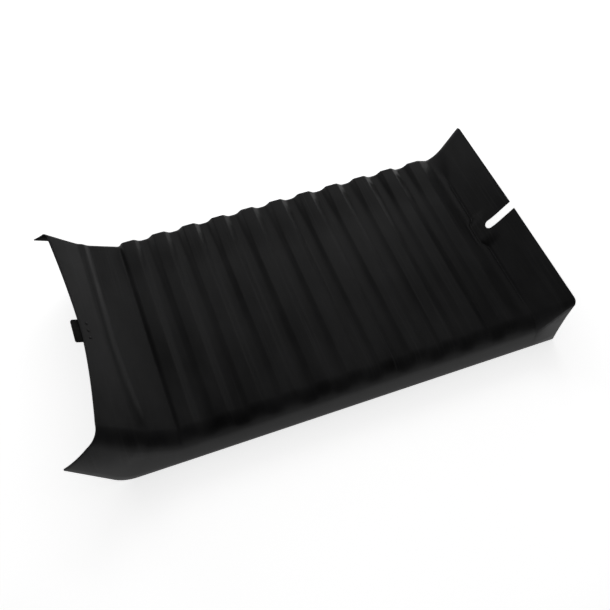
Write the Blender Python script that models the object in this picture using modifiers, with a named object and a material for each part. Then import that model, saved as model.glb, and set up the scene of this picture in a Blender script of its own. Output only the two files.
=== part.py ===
"""Ribbed truck bed liner: one formed sheet with hanging side skirts, and a rubber tab under its rear lip.

Metres, +Z up, +X towards the slotted front wall, +Y towards the far skirt. The origin is on the ground,
under the middle of the liner's overall box.
"""

import math

import bmesh
import bpy
from mathutils import Matrix, Vector

# Sheet
SHEET_THICKNESS = 0.005
FLOOR_HEIGHT = 0.178  # top of the valleys between ribs, over the skirts' lower edges
FLOOR_HALF_WIDTH = 0.595  # to the outside of the skirts where they leave the fillet
FILLET_RADIUS = 0.045  # floor to skirt
NEAR_LIP_FILLET_RADIUS = 0.100  # ramp to skirt, at the lip
FAR_LIP_FILLET_RADIUS = 0.045
DEEPEST_FILLET = 0.8  # share of a skirt's depth that its fillet may take
SKIRT_FLARE = 0.012  # how far the skirts lean outwards at their lower edges
TRIM_ALLOWANCE = 0.003  # formed below the ground level and cut off, so that the lower edges are flat
TRIM_DEPTH = 0.030  # of the block that cuts it off
FOLD_RADIUS = 0.045  # strip to ramp
CREASE_RADIUS = 0.010  # floor to front wall

# Ribs, which run across the floor
RIB_COUNT = 11
RIB_PITCH = 0.160
RIB_HEIGHT = 0.022
RIB_BASE = 0.092
RIB_TOP = 0.060
RIB_FADE_START = 0.45  # share of the side fillet that a rib crosses at its full height
FLOOR_AHEAD_OF_RIBS = 0.090  # last rib's base to the crease of the front wall

# Front wall
WALL_RISE = 0.160
WALL_ANGLE = math.radians(47)
WALL_WIDENING = 0.030  # on each side, at the top
WALL_SKIRT_SETBACK = 0.028  # skirt's lower front corner, behind the top of the wall

# Slot, open at the top of the wall
SLOT_WIDTH = 0.046
SLOT_OFFSET = 0.016  # slot and boss lie this far towards the far skirt
SLOT_ROOT = 0.044  # closed end, above the crease along the wall
BOSS_DEPTH = 0.026  # pressed towards the rear under the slot
BOSS_HALF_WIDTH = 0.050
BOSS_TAPER = 0.060
BOSS_RISE = 0.5  # share of the wall's height over which it fades

# Rear ramp
STRIP_RUN = 0.165
STRIP_FOOT_GAP = 0.002  # from the foot of the strip to the first rib's base
STRIP_RISE = 0.080
RAMP_RUN = 0.152
RAMP_RISE = 0.122
LIP_BOW = 0.040  # middle of the lip ahead of its corners

# Skirts at the rear. Runs go rearwards from the foot of the strip, drops go down from the top of the ramp,
# and a rise goes up from the ground.
NEAR_LIP_WIDENING = -0.020
FAR_LIP_WIDENING = 0.020
REAR_FLARE = 0.016
NEAR_HEEL_RUN = 0.285  # where the lower edge turns up
NEAR_HEEL_RADIUS = 0.120
NEAR_TIP_RUN = 0.498
NEAR_TIP_DROP = 0.092
FAR_HEEL_RUN = 0.235
FAR_HEEL_RISE = 0.080
FAR_HEEL_RADIUS = 0.050
FAR_LOBE_ROOT_RUN = 0.312
FAR_LOBE_ROOT_DROP = 0.050
FAR_TIP_RUN = 0.386
FAR_TIP_DROP = 0.012
FAR_LOBE_RADIUS = 0.012

# Rear tab and its fixings
TAB_OFFSET = 0.022
TAB_WIDTH = 0.127
TAB_THICKNESS = 0.008
TAB_GRIP = 0.062  # length under the ramp
TAB_REACH = 0.034  # length beyond the lip
TAB_SLOPE = math.radians(24)
TAB_CORNER = 0.010  # radius of its two outer corners, seen from above
TAB_EDGE = 0.0012  # bevel of its other edges
PLATE_WIDTH = 0.112
PLATE_DEPTH = 0.030
PLATE_THICKNESS = 0.003
PLATE_CORNER = 0.006
PLATE_INSET = 0.25  # share of the tab's grip that the plate doesn't cover, left at its inner edge
RIVET_COUNT = 3
RIVET_SPACING = 0.042
RIVET_RADIUS = 0.0024
RIVET_HEAD_RADIUS = 0.0075
RIVET_HEAD_HEIGHT = 0.0022
RIVET_TAIL_RADIUS = 0.0055
RIVET_TAIL_HEIGHT = 0.0030
RIVET_TAIL_LAND = 0.6  # share of the tail's height and radius before its chamfer
RIVET_CLEARANCE = 0.0003  # around the shank
SEAT_GAP = 0.0003  # between pieces that touch

# Mesh
FILLET_STEPS = 6
FOLD_STEPS = 4
CREASE_STEPS = 2
CORNER_STEPS = 4
DOME_STEPS = 5
ROUND_STEPS = 24
RAMP_LINES = (0.15, 0.3, 0.45, 0.7)  # shares of the ramp, from the lip
WALL_LINES = (0.25, BOSS_RISE, 0.75)  # shares of the wall, from the crease
FLAT_LINES = (0.4, 0.6, 0.8, 1.0)  # shares of the half width, beside those of the boss
MERGE_DISTANCE = 0.00005

RIBS_START = -RIB_BASE / 2
CREASE_X = (RIB_COUNT - 1) * RIB_PITCH + RIB_BASE / 2 + FLOOR_AHEAD_OF_RIBS
WALL_RUN = WALL_RISE / math.tan(WALL_ANGLE)
WALL_TOP_X = CREASE_X + WALL_RUN
FOLD_X = RIBS_START - STRIP_RUN
LIP_X = FOLD_X - RAMP_RUN
RAMP_ANGLE = math.atan2(RAMP_RISE, RAMP_RUN)
NEAR_TIP_X = RIBS_START - NEAR_TIP_RUN
MIDDLE_X = (NEAR_TIP_X + WALL_TOP_X + SHEET_THICKNESS * math.sin(WALL_ANGLE)) / 2
FOOT_Z = -FLOOR_HEIGHT - TRIM_ALLOWANCE


def smooth(share):
    """0 to 1 with level ends."""
    share = min(max(share, 0.0), 1.0)
    return share * share * (3 - 2 * share)


def rounded(points, radii, steps):
    """The (x, z) points of a line with its inner corners rounded to these radii."""
    line = [points[0]]
    for before, corner, after, radius in zip(points, points[1:], points[2:], radii):
        back = (Vector(before) - Vector(corner)).normalized()
        on = (Vector(after) - Vector(corner)).normalized()
        half = back.angle(on) / 2
        reach = radius / math.tan(half)
        centre = Vector(corner) + (back + on).normalized() * (radius / math.sin(half))
        first = Vector(corner) + back * reach - centre
        last = Vector(corner) + on * reach - centre
        turn = first.angle(last)
        for step in range(steps + 1):
            share = step / steps
            first_part = math.sin((1 - share) * turn) / math.sin(turn)
            last_part = math.sin(share * turn) / math.sin(turn)
            line.append(tuple(centre + first * first_part + last * last_part))
    line.append(points[-1])
    return line


def rib_stations():
    """(x, rib height) at each corner of each rib, from the rear."""
    stations = []
    for rib in range(RIB_COUNT):
        middle = rib * RIB_PITCH
        stations.append((middle - RIB_BASE / 2, 0.0))
        stations.append((middle - RIB_TOP / 2, RIB_HEIGHT))
        stations.append((middle + RIB_TOP / 2, RIB_HEIGHT))
        stations.append((middle + RIB_BASE / 2, 0.0))
    return stations


def sheet_stations():
    """(x, z, rib height) along the middle of the sheet, from the lip to the top of the front wall."""
    lip = (LIP_X, STRIP_RISE + RAMP_RISE)
    fold = (FOLD_X, STRIP_RISE)
    foot = (RIBS_START - STRIP_FOOT_GAP, 0.0)
    rear = rounded([lip, fold, foot], [FOLD_RADIUS], FOLD_STEPS)
    ramp_top, ramp_foot = Vector(rear[0]), Vector(rear[1])
    rear[1:1] = [tuple(ramp_top.lerp(ramp_foot, share)) for share in RAMP_LINES]
    before_crease = (CREASE_X - FLOOR_AHEAD_OF_RIBS / 2, 0.0)
    crease = (CREASE_X, 0.0)
    top = (WALL_TOP_X, WALL_RISE)
    front = rounded([before_crease, crease, top], [CREASE_RADIUS], CREASE_STEPS)
    rise = [(CREASE_X + WALL_RUN * share, WALL_RISE * share) for share in WALL_LINES]
    front[-1:-1] = rise
    stations = [(x, z, 0.0) for x, z in rear[:-1]]
    stations += [(x, 0.0, height) for x, height in rib_stations()]
    stations += [(x, z, 0.0) for x, z in front]
    return stations


def point_along(line, share):
    """The point at this share of a line's length, as (x, z)."""
    lengths = [(Vector(after) - Vector(before)).length for before, after in zip(line, line[1:])]
    left = share * sum(lengths)
    for before, after, length in zip(line, line[1:], lengths):
        if left <= length:
            return tuple(Vector(before).lerp(Vector(after), left / length))
        left -= length
    return line[-1]


def rear_foot_line(side):
    """The lower edge of a skirt behind the ribs, from the foot of the strip to the skirt's rear tip."""
    ramp_top = STRIP_RISE + RAMP_RISE
    start = (RIBS_START, FOOT_Z)
    if side < 0:
        heel = (RIBS_START - NEAR_HEEL_RUN, FOOT_Z)
        tip = (RIBS_START - NEAR_TIP_RUN, ramp_top - NEAR_TIP_DROP)
        return rounded([start, heel, tip], [NEAR_HEEL_RADIUS], FOLD_STEPS)
    heel = (RIBS_START - FAR_HEEL_RUN, -FLOOR_HEIGHT + FAR_HEEL_RISE)
    root = (RIBS_START - FAR_LOBE_ROOT_RUN, ramp_top - FAR_LOBE_ROOT_DROP)
    tip = (RIBS_START - FAR_TIP_RUN, ramp_top - FAR_TIP_DROP)
    return rounded([start, heel, root, tip], [FAR_HEEL_RADIUS, FAR_LOBE_RADIUS], FOLD_STEPS)


def skirt_foot(x, z, side):
    """Where the skirt that leaves the sheet at (x, z) ends, as (x, z)."""
    if x > CREASE_X - CREASE_RADIUS:
        share = min(max(z / WALL_RISE, 0.0), 1.0)
        start = CREASE_X - CREASE_RADIUS
        return start + (WALL_TOP_X - WALL_SKIRT_SETBACK - start) * share, FOOT_Z
    if x >= RIBS_START:
        return x, FOOT_Z
    return point_along(rear_foot_line(side), (RIBS_START - x) / (RIBS_START - LIP_X))


def columns():
    """(side, kind, share) of each line of points, from near to far. A flat one's share is of its width."""
    half_flat = FLOOR_HALF_WIDTH - FILLET_RADIUS
    reaches = (0.0, BOSS_HALF_WIDTH / 2, BOSS_HALF_WIDTH, BOSS_HALF_WIDTH + BOSS_TAPER / 2)
    reaches += (BOSS_HALF_WIDTH + BOSS_TAPER,)
    flats = {(SLOT_OFFSET + side * reach) / half_flat for reach in reaches for side in (-1, 1)}
    flats |= {side * share for side in (-1, 1) for share in FLAT_LINES}
    lines = [(1 if share > 0 else -1, "flat", abs(share)) for share in sorted(flats)]
    edge = [("fillet", step / FILLET_STEPS) for step in range(1, FILLET_STEPS + 1)]
    edge += [("skirt", 0.5), ("skirt", 1.0)]
    near = [(-1, kind, share) for kind, share in reversed(edge)]
    far = [(1, kind, share) for kind, share in edge]
    return near + lines + far


def sheet_point(station, column):
    """The top of the sheet where a station crosses a column."""
    x, z, rib = station
    side, kind, share = column
    wall_share = max(z / WALL_RISE, 0.0) if x > CREASE_X - CREASE_RADIUS else 0.0
    rear_share = max((RIBS_START - x) / (RIBS_START - LIP_X), 0.0)
    ramp_share = max((FOLD_X - x) / RAMP_RUN, 0.0)
    lip_widening = NEAR_LIP_WIDENING if side < 0 else FAR_LIP_WIDENING
    lip_radius = NEAR_LIP_FILLET_RADIUS if side < 0 else FAR_LIP_FILLET_RADIUS
    half_width = FLOOR_HALF_WIDTH + WALL_WIDENING * wall_share + lip_widening * ramp_share
    foot_x, foot_z = skirt_foot(x, z, side)
    down = Vector((foot_x - x, 0.0, foot_z - z))
    depth = down.length
    down.normalize()
    radius = FILLET_RADIUS + (lip_radius - FILLET_RADIUS) * rear_share
    radius = min(radius, depth * DEEPEST_FILLET)
    flat = half_width - radius
    if kind == "flat":
        across = share * flat
        drop = 0.0
    else:
        turn = math.pi / 2 * (share if kind == "fillet" else 1.0)
        across = flat + radius * math.sin(turn)
        drop = radius * (1 - math.cos(turn))
    if kind == "skirt":
        flare = SKIRT_FLARE + (REAR_FLARE - SKIRT_FLARE) * rear_share
        foot_across = FLOOR_HALF_WIDTH + flare
        across += (foot_across - across) * share
        drop += (depth - radius) * share
    fade = 1.0
    if kind == "fillet":
        fade = 1 - smooth((share - RIB_FADE_START) / (1 - RIB_FADE_START))
    if kind == "skirt":
        fade = 0.0
    point = Vector((x, side * across, z)) + down * drop + Vector((0.0, 0.0, rib * fade))
    bow = LIP_BOW * ramp_share * (1 - min(across / flat, 1.0) ** 2)
    point += Vector((bow, 0.0, -bow * RAMP_RISE / RAMP_RUN))
    if x > CREASE_X - CREASE_RADIUS:
        press = 1 - smooth((abs(side * across - SLOT_OFFSET) - BOSS_HALF_WIDTH) / BOSS_TAPER)
        point.x -= BOSS_DEPTH * press * (1 - smooth(wall_share / BOSS_RISE))
    return point


def world(point):
    """A point of the sheet's own frame, whose origin is the first rib's foot, in the liner's frame."""
    return Vector((point[0] - MIDDLE_X, point[1], point[2] + FLOOR_HEIGHT))


def material(name, colour, roughness, metallic=0.0):
    made = bpy.data.materials.new(name)
    made.use_nodes = True
    shader = made.node_tree.nodes["Principled BSDF"]
    shader.inputs["Base Color"].default_value = (*colour, 1.0)
    shader.inputs["Roughness"].default_value = roughness
    shader.inputs["Metallic"].default_value = metallic
    return made


def add_object(name, mesh, finish, collection):
    made = bpy.data.objects.new(name, mesh)
    if finish:
        mesh.materials.append(finish)
    collection.objects.link(made)
    return made


def add_cutter(name, mesh, collection):
    made = add_object(name, mesh, None, collection)
    made.hide_render = True
    made.display_type = "WIRE"
    return made


def cut(target, cutter):
    boolean = target.modifiers.new("cut_" + cutter.name, "BOOLEAN")
    boolean.operation = "DIFFERENCE"
    boolean.solver = "EXACT"
    boolean.object = cutter


def make_sheet_mesh():
    """A grid whose points are moved to the formed surface, facing up."""
    stations = sheet_stations()
    lines = columns()
    form = bmesh.new()
    bmesh.ops.create_grid(form, x_segments=len(stations) - 1, y_segments=len(lines) - 1, size=1.0)
    for vertex in form.verts:
        station = round((vertex.co.x + 1) / 2 * (len(stations) - 1))
        line = round((vertex.co.y + 1) / 2 * (len(lines) - 1))
        vertex.co = world(sheet_point(stations[station], lines[line]))
    mesh = bpy.data.meshes.new("liner_panel")
    form.to_mesh(mesh)
    form.free()
    return mesh


def ramp_matrix(middle_y, along=0.0, below=0.0):
    """On the ramp's centre line: X runs up the slope towards the lip, Z out of its top face."""
    lip = Vector((LIP_X + LIP_BOW, 0.0, STRIP_RISE + RAMP_RISE - LIP_BOW * RAMP_RISE / RAMP_RUN))
    up_slope = Vector((-math.cos(RAMP_ANGLE), 0.0, math.sin(RAMP_ANGLE)))
    out = Vector((math.sin(RAMP_ANGLE), 0.0, math.cos(RAMP_ANGLE)))
    place = world(lip + up_slope * along - out * below + Vector((0.0, middle_y, 0.0)))
    turn = Matrix((up_slope, out.cross(up_slope), out)).transposed().to_4x4()
    return Matrix.Translation(place) @ turn


def cylinder_mesh(name, radius, low, high):
    """Along Z from low to high."""
    form = bmesh.new()
    bmesh.ops.create_cone(
        form, cap_ends=True, segments=ROUND_STEPS, radius1=radius, radius2=radius, depth=high - low
    )
    bmesh.ops.translate(form, verts=form.verts, vec=(0.0, 0.0, (low + high) / 2))
    mesh = bpy.data.meshes.new(name)
    form.to_mesh(mesh)
    form.free()
    return mesh


def outline_mesh(name, outline, half_depth):
    """A flat outline in X and Z, made solid along Y."""
    form = bmesh.new()
    corners = [form.verts.new((x, -half_depth, z)) for x, z in outline]
    face = form.faces.new(corners)
    grown = bmesh.ops.extrude_face_region(form, geom=[face])
    moved = [item for item in grown["geom"] if isinstance(item, bmesh.types.BMVert)]
    bmesh.ops.translate(form, verts=moved, vec=(0.0, 2 * half_depth, 0.0))
    bmesh.ops.recalc_face_normals(form, faces=form.faces)
    mesh = bpy.data.meshes.new(name)
    form.to_mesh(mesh)
    form.free()
    return mesh


def make_panel(finish, parts, cutters):
    panel = add_object("liner_panel", make_sheet_mesh(), finish, parts)
    wall = panel.modifiers.new("sheet_thickness", "SOLIDIFY")
    wall.thickness = SHEET_THICKNESS
    wall.offset = -1.0
    wall.use_even_offset = True
    cut(panel, make_trim_cutter(cutters))
    cut(panel, make_slot_cutter(cutters))
    for number, middle_y in enumerate(rivet_places(), 1):
        hole = hole_cutter(f"panel_hole_{number}", middle_y, cutters)
        cut(panel, hole)
    panel.data.shade_smooth()
    panel.data.set_sharp_from_angle(angle=math.radians(30))
    return panel


def make_trim_cutter(cutters):
    """A block whose top is the ground, wider than the liner, that levels the skirts' lower edges."""
    form = bmesh.new()
    bmesh.ops.create_cube(form, size=1.0)
    length = 2 * (WALL_TOP_X - NEAR_TIP_X)
    bmesh.ops.scale(form, verts=form.verts, vec=(length, length, TRIM_DEPTH))
    bmesh.ops.translate(form, verts=form.verts, vec=(0.0, 0.0, -TRIM_DEPTH / 2))
    mesh = bpy.data.meshes.new("skirt_trim")
    form.to_mesh(mesh)
    form.free()
    return add_cutter("skirt_trim", mesh, cutters)


def make_slot_cutter(cutters):
    """A round-ended bar that crosses the wall at right angles and leaves past its top."""
    half = SLOT_WIDTH / 2
    centre = SLOT_ROOT + half
    end = WALL_RISE / math.sin(WALL_ANGLE) + SLOT_WIDTH
    outline = [(end, -half), (end, half)]
    for step in range(ROUND_STEPS // 2 + 1):
        turn = math.pi / 2 + math.pi * step / (ROUND_STEPS // 2)
        outline.append((centre + half * math.cos(turn), half * math.sin(turn)))
    cutter = add_cutter("wall_slot", outline_mesh("wall_slot", outline, SLOT_WIDTH), cutters)
    up_wall = Vector((math.cos(WALL_ANGLE), 0.0, math.sin(WALL_ANGLE)))
    through = up_wall.cross(Vector((0.0, 1.0, 0.0)))
    turn = Matrix((up_wall, through, Vector((0.0, 1.0, 0.0)))).transposed().to_4x4()
    if turn.determinant() < 0:
        turn = Matrix((up_wall, -through, Vector((0.0, 1.0, 0.0)))).transposed().to_4x4()
    cutter.matrix_world = Matrix.Translation(world((CREASE_X, SLOT_OFFSET, 0.0))) @ turn
    return cutter


def rivet_places():
    first = TAB_OFFSET - (RIVET_COUNT - 1) / 2 * RIVET_SPACING
    return [first + number * RIVET_SPACING for number in range(RIVET_COUNT)]


def rivet_along():
    """The rivets' place on the ramp, measured up the slope from the lip."""
    return -TAB_GRIP + PLATE_DEPTH / 2 + (TAB_GRIP - PLATE_DEPTH) * PLATE_INSET


def hole_cutter(name, middle_y, cutters):
    reach = SHEET_THICKNESS + TAB_THICKNESS + PLATE_THICKNESS
    mesh = cylinder_mesh(name, RIVET_RADIUS + RIVET_CLEARANCE, -2 * reach, reach)
    cutter = add_cutter(name, mesh, cutters)
    cutter.matrix_world = ramp_matrix(middle_y, rivet_along())
    return cutter


def make_tab(finish, parts, cutters):
    """A rubber strip under the ramp, bent to a gentler slope where it leaves the lip."""
    bend = RAMP_ANGLE - TAB_SLOPE
    top = [(-TAB_GRIP, 0.0), (0.0, 0.0), (TAB_REACH * math.cos(bend), -TAB_REACH * math.sin(bend))]
    miter = TAB_THICKNESS * math.tan(bend / 2)
    drop = Vector((-math.sin(bend), -math.cos(bend))) * TAB_THICKNESS
    under = [
        (top[2][0] + drop[0], top[2][1] + drop[1]),
        (-miter, -TAB_THICKNESS),
        (-TAB_GRIP, -TAB_THICKNESS),
    ]
    mesh = outline_mesh("rear_tab", top + under, TAB_WIDTH / 2)
    round_outer_corners(mesh)
    tab = add_object("rear_tab", mesh, finish, parts)
    tab.matrix_world = ramp_matrix(TAB_OFFSET, below=SHEET_THICKNESS + SEAT_GAP)
    for number, middle_y in enumerate(rivet_places(), 1):
        cut(tab, hole_cutter(f"tab_hole_{number}", middle_y, cutters))
    corners = tab.modifiers.new("soft_corners", "BEVEL")
    corners.width = TAB_EDGE
    corners.segments = 2
    corners.limit_method = "ANGLE"
    corners.angle_limit = math.radians(50)
    return tab


def round_outer_corners(mesh):
    """Bevels the two edges that join top and underside at the tab's free corners."""
    form = bmesh.new()
    form.from_mesh(mesh)
    across = [edge for edge in form.edges if edge.verts[0].co.y * edge.verts[1].co.y > 0]
    free = [edge for edge in across if min(vertex.co.x for vertex in edge.verts) > MERGE_DISTANCE]
    bmesh.ops.bevel(
        form, geom=free, offset=TAB_CORNER, segments=CORNER_STEPS, affect="EDGES", profile=0.5
    )
    form.to_mesh(mesh)
    form.free()


def make_plate(finish, parts, cutters):
    """The steel strip that spreads the rivets' grip under the tab."""
    form = bmesh.new()
    bmesh.ops.create_cube(form, size=1.0)
    bmesh.ops.scale(form, verts=form.verts, vec=(PLATE_DEPTH, PLATE_WIDTH, PLATE_THICKNESS))
    upright = [edge for edge in form.edges if edge.verts[0].co.z * edge.verts[1].co.z < 0]
    bmesh.ops.bevel(
        form, geom=upright, offset=PLATE_CORNER, segments=CORNER_STEPS, affect="EDGES", profile=0.5
    )
    mesh = bpy.data.meshes.new("tab_backing_plate")
    form.to_mesh(mesh)
    form.free()
    plate = add_object("tab_backing_plate", mesh, finish, parts)
    below = SHEET_THICKNESS + TAB_THICKNESS + 2 * SEAT_GAP + PLATE_THICKNESS / 2
    plate.matrix_world = ramp_matrix(TAB_OFFSET, rivet_along(), below)
    for number, middle_y in enumerate(rivet_places(), 1):
        cut(plate, hole_cutter(f"plate_hole_{number}", middle_y, cutters))
    return plate


def make_rivets(finish, parts):
    """Each is a turned profile: a low dome over the ramp, a shank, and a clinched tail under the plate."""
    head_seat = SEAT_GAP
    tail_seat = -(SHEET_THICKNESS + TAB_THICKNESS + PLATE_THICKNESS + 3 * SEAT_GAP)
    dome = [
        (RIVET_HEAD_RADIUS * math.sin(turn), head_seat + RIVET_HEAD_HEIGHT * math.cos(turn))
        for turn in [math.pi / 2 * step / DOME_STEPS for step in range(DOME_STEPS + 1)]
    ]
    profile = dome + [
        (RIVET_RADIUS, head_seat),
        (RIVET_RADIUS, tail_seat),
        (RIVET_TAIL_RADIUS, tail_seat),
        (RIVET_TAIL_RADIUS, tail_seat - RIVET_TAIL_HEIGHT * RIVET_TAIL_LAND),
        (RIVET_TAIL_RADIUS * RIVET_TAIL_LAND, tail_seat - RIVET_TAIL_HEIGHT),
        (0.0, tail_seat - RIVET_TAIL_HEIGHT),
    ]
    mesh = bpy.data.meshes.new("tab_rivet")
    edges = [(n, n + 1) for n in range(len(profile) - 1)]
    mesh.from_pydata([(x, 0.0, z) for x, z in profile], edges, [])
    mesh.materials.append(finish)
    for number, middle_y in enumerate(rivet_places(), 1):
        rivet = bpy.data.objects.new(f"tab_rivet_{number}", mesh)
        parts.objects.link(rivet)
        rivet.matrix_world = ramp_matrix(middle_y, rivet_along())
        turned = rivet.modifiers.new("turned", "SCREW")
        turned.axis = "Z"
        turned.steps = ROUND_STEPS
        turned.render_steps = ROUND_STEPS
        turned.use_merge_vertices = True
        turned.merge_threshold = MERGE_DISTANCE
        turned.use_smooth_shade = True


def main():
    for item in list(bpy.data.objects):
        bpy.data.objects.remove(item, do_unlink=True)
    parts = bpy.data.collections.new("truck_bed_liner")
    cutters = bpy.data.collections.new("cutters")
    bpy.context.scene.collection.children.link(parts)
    bpy.context.scene.collection.children.link(cutters)
    black_sheet = material("black_polyethylene", (0.016, 0.016, 0.017), 0.42)
    black_rubber = material("black_rubber", (0.006, 0.006, 0.006), 0.75)
    zinc_steel = material("zinc_plated_steel", (0.42, 0.43, 0.44), 0.38, 1.0)
    black_rivet = material("blackened_rivet", (0.02, 0.02, 0.021), 0.4, 0.6)
    make_panel(black_sheet, parts, cutters)
    make_tab(black_rubber, parts, cutters)
    make_plate(zinc_steel, parts, cutters)
    make_rivets(black_rivet, parts)


main()
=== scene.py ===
"""Ribbed truck bed liner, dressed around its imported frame.

Metres, +Z up, +X towards the slotted front wall, +Y towards the far skirt. The order is that of
assembly: the formed sheet, the rubber tab under its rear lip, the tab's backing plate and its rivets.
"""

import math

import bmesh
import bpy
from mathutils import Matrix, Vector, noise


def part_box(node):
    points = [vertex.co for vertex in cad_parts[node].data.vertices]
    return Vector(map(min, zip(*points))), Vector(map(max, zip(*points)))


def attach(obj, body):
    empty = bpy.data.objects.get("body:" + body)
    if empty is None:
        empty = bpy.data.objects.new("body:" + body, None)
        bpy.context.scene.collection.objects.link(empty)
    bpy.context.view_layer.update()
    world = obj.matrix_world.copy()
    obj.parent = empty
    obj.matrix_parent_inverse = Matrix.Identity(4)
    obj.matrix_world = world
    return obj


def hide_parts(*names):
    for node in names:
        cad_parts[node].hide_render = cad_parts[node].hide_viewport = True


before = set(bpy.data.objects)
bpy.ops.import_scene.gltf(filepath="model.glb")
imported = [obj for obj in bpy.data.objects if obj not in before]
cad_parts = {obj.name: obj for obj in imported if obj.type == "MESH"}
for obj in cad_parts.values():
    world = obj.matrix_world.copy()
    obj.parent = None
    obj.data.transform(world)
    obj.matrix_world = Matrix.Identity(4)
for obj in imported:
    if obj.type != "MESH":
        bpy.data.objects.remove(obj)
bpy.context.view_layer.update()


# ---------------------------------------------------------------- formed sheet
# One sheet of black polyethylene, vacuum formed: eleven ribs across the floor, both long sides turned
# down into skirts, a leaning front wall and a two-step rear ramp. It lies on the bed by its own shape.

panel_low, panel_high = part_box("liner_panel")

SHEET_THICKNESS = 0.005
FLOOR_HEIGHT = 0.178
FOOT_GAP = 0.0006  # between the skirts' feet and the ground
HALF_WIDTH = 0.595  # to the outside of the skirts, where they leave the side fillets
NEAR_FILLET = 0.082
NEAR_BULGE = 0.005  # how far the near skirt stands out beside the far one
FAR_FILLET = 0.033
WALL_TOP_FILLET = 0.032
FILLET_TURN = math.radians(76)  # how far a side fillet turns before the skirt's own curve starts
FILLET_LIMIT = 0.8  # largest share of a skirt's depth that its fillet takes up

RIB_COUNT = 11
RIB_PITCH = 0.160
RIB_FAR_HEIGHT = 0.024
RIB_MIDDLE_HEIGHT = 0.0125  # in the middle of the floor, where the ribs sank most as the sheet cooled
RIB_NEAR_HEIGHT = 0.014
RIB_RISE_START = 0.55  # share of the way to the side at which a rib starts to gain height
RIB_RISE_RUN = 0.40
RIB_REAR_EDGE = 0.026  # from a rib's middle to the rear edge of its top
RIB_REAR_FOOT = 0.052
RIB_FRONT_EDGE = 0.036
RIB_FRONT_FOOT = 0.066
LAST_RIB_FOOT = 0.096
RIB_SHOULDER = 0.005  # half the length over which the edge of a rib's top is rounded
RIB_ROOT = 0.011  # the same where its flank runs out into the floor
STRIP_FOOT = 0.046  # from the first rib's middle to the strip behind it, which cuts its flank short
FLOOR_PAST_RIBS = 0.136  # last rib's middle to the crease of the front wall
NEAR_FADE_START = 0.15  # share of the side fillet that a rib crosses at its full height
FAR_FADE_START = 0.45

WALL_RISE = 0.160
WALL_ANGLE = math.radians(47)
WALL_WIDENING = 0.030
WALL_SKIRT_SETBACK = 0.028
CREASE_SOFTNESS = 0.005  # half the length over which the floor turns into the wall
FAR_CREASE_SOFTNESS = 0.065  # the same at the far end, where the crease opens out
FAR_CREASE_START = 0.66  # share of the way to the far side at which it starts to open
CREASE_GROOVE = 0.0045  # depth of the groove that the tool leaves along it
CREASE_GROOVE_WIDTH = 0.0055
GROOVE_FADE_START = 0.5
GROOVE_FADE_RUN = 0.4
FAR_WALL_LEAN = 0.008  # how far the wall's far end springs back towards the floor
BOSS_DEPTH = 0.026
BOSS_HALF_WIDTH = 0.050
BOSS_TAPER = 0.055
BOSS_RISE = 0.5  # share of the wall's height over which the boss fades
BOSS_APPROACH = 0.062  # floor ahead of the crease that moves with the boss
SLOT_WIDTH = 0.046
SLOT_OFFSET = 0.016
SLOT_ROOT = 0.044

STRIP_RUN = 0.165
STRIP_RISE = 0.080
RAMP_RUN = 0.152
RAMP_RISE = 0.122
NEAR_FOLD_SHIFT = 0.034  # how much nearer to the ribs the fold lies at the near side
NEAR_FOLD_CURVE = 1.5  # power with which that shift grows outwards
FOLD_SOFTNESS = 0.008
FOOT_SOFTNESS = 0.006
BEAD_HEIGHT = 0.0095  # raised line along the fold
BEAD_WIDTH = 0.0150
NEAR_CRISP_END = 0.80  # share of the way to the near side at which bead and groove start to fade
LIP_BOW = 0.040
LIP_BOW_CURVE = 1.6  # power with which the bow fades outwards
NEAR_LIP_FILLET = 0.088
FAR_LIP_FILLET = 0.022
NEAR_LIP_WIDENING = -0.020
FAR_LIP_WIDENING = 0.020

SKIRT_FLARE = 0.012
REAR_FLARE = 0.010
NEAR_HEEL = 0.285  # from the strip back to the corner where the near skirt's foot turns up
NEAR_HEEL_RADIUS = 0.120
NEAR_POINT = 0.498  # from the strip to the end of the near skirt
NEAR_POINT_DROP = 0.092  # its depth below the lip
FAR_HEEL = 0.235
FAR_HEEL_RISE = 0.080
FAR_HEEL_RADIUS = 0.050
FAR_LOBE = 0.312  # the far skirt's foot, where it turns into the short lobe beside the lip
FAR_LOBE_DROP = 0.050
FAR_LOBE_RADIUS = 0.012
FAR_POINT = 0.386
FAR_POINT_DROP = 0.012

ribs_start = -STRIP_FOOT
crease_x = (RIB_COUNT - 1) * RIB_PITCH + FLOOR_PAST_RIBS
wall_top_x = crease_x + WALL_RISE / math.tan(WALL_ANGLE)
fold_x = ribs_start - STRIP_RUN
lip_x = fold_x - RAMP_RUN
lip_z = STRIP_RISE + RAMP_RISE
ramp_slope = RAMP_RISE / RAMP_RUN
strip_slope = STRIP_RISE / STRIP_RUN
first_rib_x = panel_high.x - wall_top_x - SHEET_THICKNESS * math.sin(WALL_ANGLE)
floor_z = panel_low.z + FLOOR_HEIGHT
foot_z = -FLOOR_HEIGHT + FOOT_GAP


def smooth(share):
    """0 to 1 with level ends."""
    share = min(max(share, 0.0), 1.0)
    return share * share * (3 - 2 * share)


def hinge(run, softness):
    """0 before a fold and run after it, rounded over softness each way."""
    if run <= -softness:
        return 0.0
    if run >= softness:
        return run
    return (run + softness) ** 2 / (4 * softness)


def ridge(run, width):
    """1 on a line, falling off to 0 on both sides."""
    return math.exp(-((run / width) ** 2))


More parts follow.
